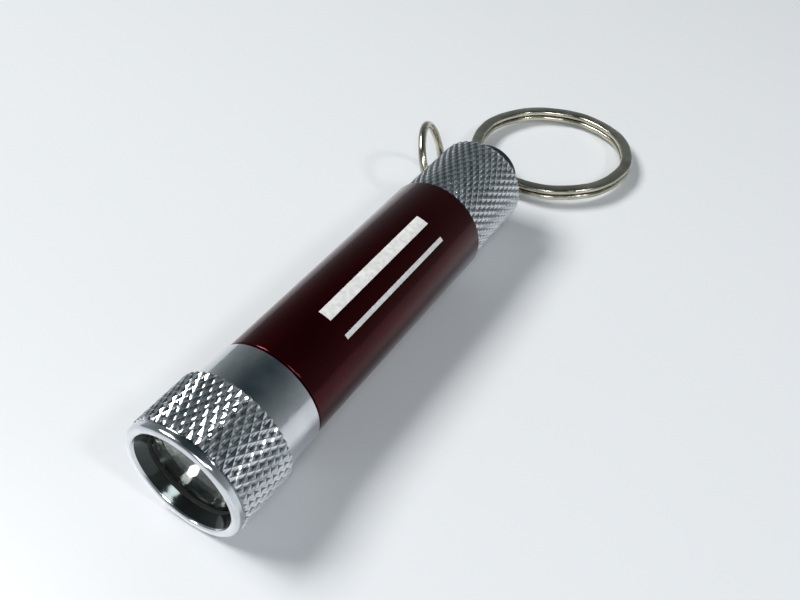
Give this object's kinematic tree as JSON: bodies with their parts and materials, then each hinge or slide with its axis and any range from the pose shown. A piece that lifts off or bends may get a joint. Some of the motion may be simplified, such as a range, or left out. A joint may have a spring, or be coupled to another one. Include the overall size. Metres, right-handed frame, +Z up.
{
  "type": "keychain flashlight",
  "caption": "Pocket flashlight for a key ring: knurled twist head with lens, smooth tube, knurled tail cap with a push button, and linked rings.",
  "frame": {"origin": "middle of the bounding box, on the surface that the light lies on", "axes": "+X along the light from the lens to the tail button and the rings, +Z up"},
  "size_m": [0.0984, 0.0284, 0.0158],
  "materials": {
    "chrome": "polished",
    "anodised_red": "gloss anodised",
    "nickel": "nickel plated, worn",
    "black_plastic": "satin",
    "rubber": "matt",
    "lens": "clear",
    "mirror": "mirror",
    "phosphor": "silicone dome",
    "circuit": "solder mask",
    "brass": "machined",
    "ferrite": "fired ferrite",
    "spring_steel": "drawn wire",
    "cell_wrap": "printed sleeve",
    "copper": "plated"
  },
  "bodies": {
    "barrel": {"body_tube": "anodised_red", "tube_front_o_ring": "rubber", "tail_o_ring": "rubber", "battery_cell": "cell_wrap"},
    "light_engine": {"pill": "brass", "led_board": "circuit", "led_emitter": "phosphor", "reflector_insulator": "black_plastic", "driver_board": "circuit", "driver_inductor": "ferrite", "positive_spring": "spring_steel"},
    "head": {"head_shell": "chrome", "reflector": "mirror", "lens": "lens", "lens_o_ring": "rubber"},
    "switch_module": {"switch_body": "black_plastic", "switch_lock_ring": "brass", "return_spring": "spring_steel", "battery_spring": "spring_steel"},
    "tail_cap": {"tail_cap": "chrome"},
    "button": {"push_button": "black_plastic", "switch_plunger": "copper"},
    "jump_ring": {"jump_ring": "nickel"},
    "link_ring": {"link_ring": "nickel"},
    "split_ring": {"split_ring": "nickel"}
  },
  "joints": [
    {"name": "head_travel", "type": "slide", "parent": "barrel", "child": "light_engine", "axis": [-1, 0, 0], "range_m": [0, 0.003]},
    {"name": "head_turn", "type": "hinge", "parent": "light_engine", "child": "head", "pos_m": [-0.04244, 0.00114, 0.0079], "axis": [-1, 0, 0], "range_deg": [0, 1440]},
    {"name": "cap_travel", "type": "slide", "parent": "barrel", "child": "switch_module", "axis": [1, 0, 0], "range_m": [0, 0.003]},
    {"name": "cap_turn", "type": "hinge", "parent": "switch_module", "child": "tail_cap", "pos_m": [0.00556, 0.00114, 0.0079], "axis": [1, 0, 0], "range_deg": [0, 1440]},
    {"name": "button_press", "type": "slide", "parent": "tail_cap", "child": "button", "axis": [-1, 0, 0], "range_m": [0, 0.0013], "stiffness_N_per_m": 600, "springref_m": -0.0005},
    {"name": "jump_ring_swing", "type": "hinge", "parent": "tail_cap", "child": "jump_ring", "pos_m": [0.01247, 0.00885, 0.00572], "axis": [0.1524, -0.2308, -0.961], "range_deg": [-60, 20]},
    {"name": "link_ring_swing", "type": "hinge", "parent": "jump_ring", "child": "link_ring", "pos_m": [0.0215, 0.01146, 0.002], "axis": [0.6166, 0.453, 0.6439], "range_deg": [-8, 90]},
    {"name": "split_ring_turn", "type": "hinge", "parent": "link_ring", "child": "split_ring", "pos_m": [0.03589, -0.00087, 0.002], "axis": [0.035, 0, 0.9994], "range_deg": [-150, 150]}
  ],
  "couplings": [
    {"joint": "head_turn", "follows": "head_travel", "rad_per_m": 8377.6},
    {"joint": "cap_turn", "follows": "cap_travel", "rad_per_m": 8377.6}
  ]
}
